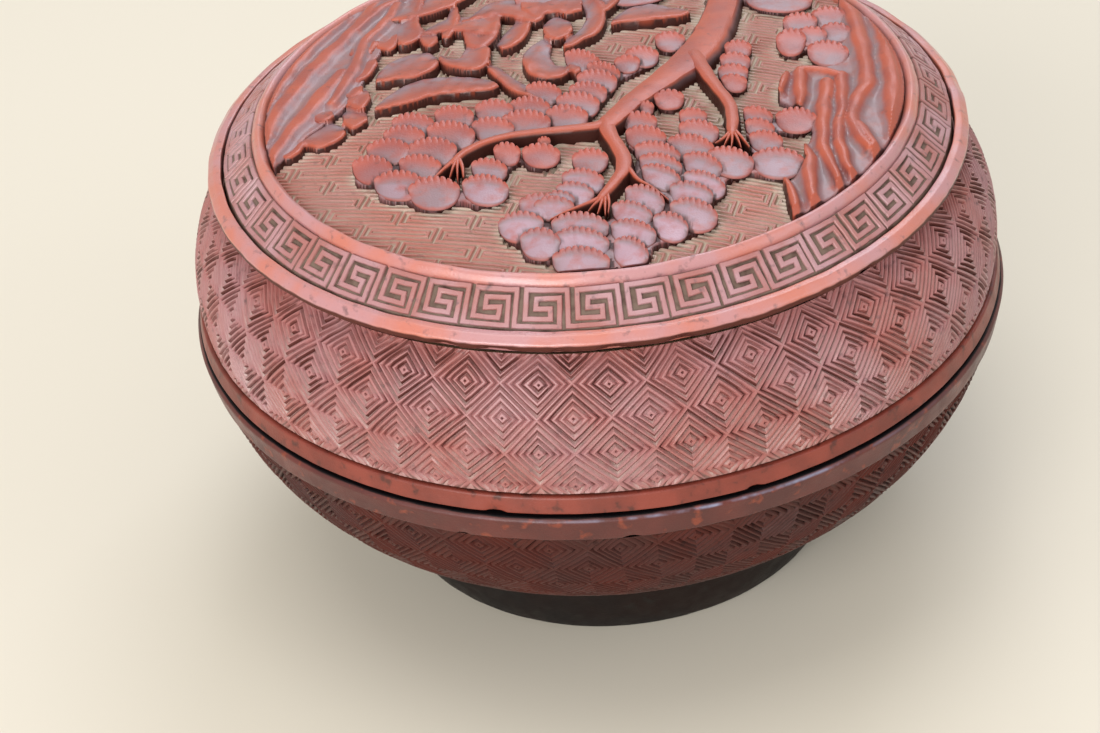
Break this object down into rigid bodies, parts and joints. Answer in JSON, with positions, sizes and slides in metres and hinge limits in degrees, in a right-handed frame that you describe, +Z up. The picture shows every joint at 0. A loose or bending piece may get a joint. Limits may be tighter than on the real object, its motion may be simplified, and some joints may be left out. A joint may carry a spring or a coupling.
{
  "type": "carved lacquer box",
  "caption": "Round lidded box of carved red lacquer on a wooden core, on a foot ring, with a lift-off domed lid.",
  "frame": {"origin": "middle of the foot ring's underside, on the surface the box stands on", "axes": "+Z up along the box's axis, -Y towards the front of the carved scene, +X to its right"},
  "size_m": [0.1162, 0.1162, 0.0723],
  "materials": {
    "carved_lacquer": "satin red lacquer, cut in fine lines with dust in the grooves",
    "plain_lacquer": "smooth worn red lacquer",
    "ground_lacquer": "red lacquer cut in a brick fret, dusty",
    "base_lacquer": "darker red lacquer cut in fine lines",
    "foot_lacquer": "near-black brown lacquer",
    "black_lacquer": "polished black lacquer",
    "core_wood": "bare softwood"
  },
  "bodies": {
    "base": {"foot_ring": "foot_lacquer", "underside_lacquer": "black_lacquer", "base_floor_board": "core_wood", "base_wall_hoop": "core_wood", "base_lining": "black_lacquer", "base_carved_coat": "base_lacquer", "base_rim_band": "plain_lacquer", "locating_collar": "black_lacquer"},
    "lid": {"lid_wall_hoop": "core_wood", "lid_top_board": "core_wood", "lid_lining": "black_lacquer", "lid_rim_band": "plain_lacquer", "lid_carved_coat": "carved_lacquer", "border_outer_fillet": "plain_lacquer", "border_fret_band": "carved_lacquer", "border_inner_fillet": "plain_lacquer", "medallion_ground": "ground_lacquer", "pine_carving": "plain_lacquer", "right_rock_carving": "plain_lacquer", "left_rock_carving": "plain_lacquer", "near_cloud_carving": "plain_lacquer", "far_cloud_carving": "plain_lacquer", "scroll_cloud_carving": "plain_lacquer"}
  },
  "joints": [
    {"name": "lid_lift", "type": "slide", "parent": "base", "child": "lid", "axis": [0, 0, 1], "range_m": [0, 0.08]}
  ]
}
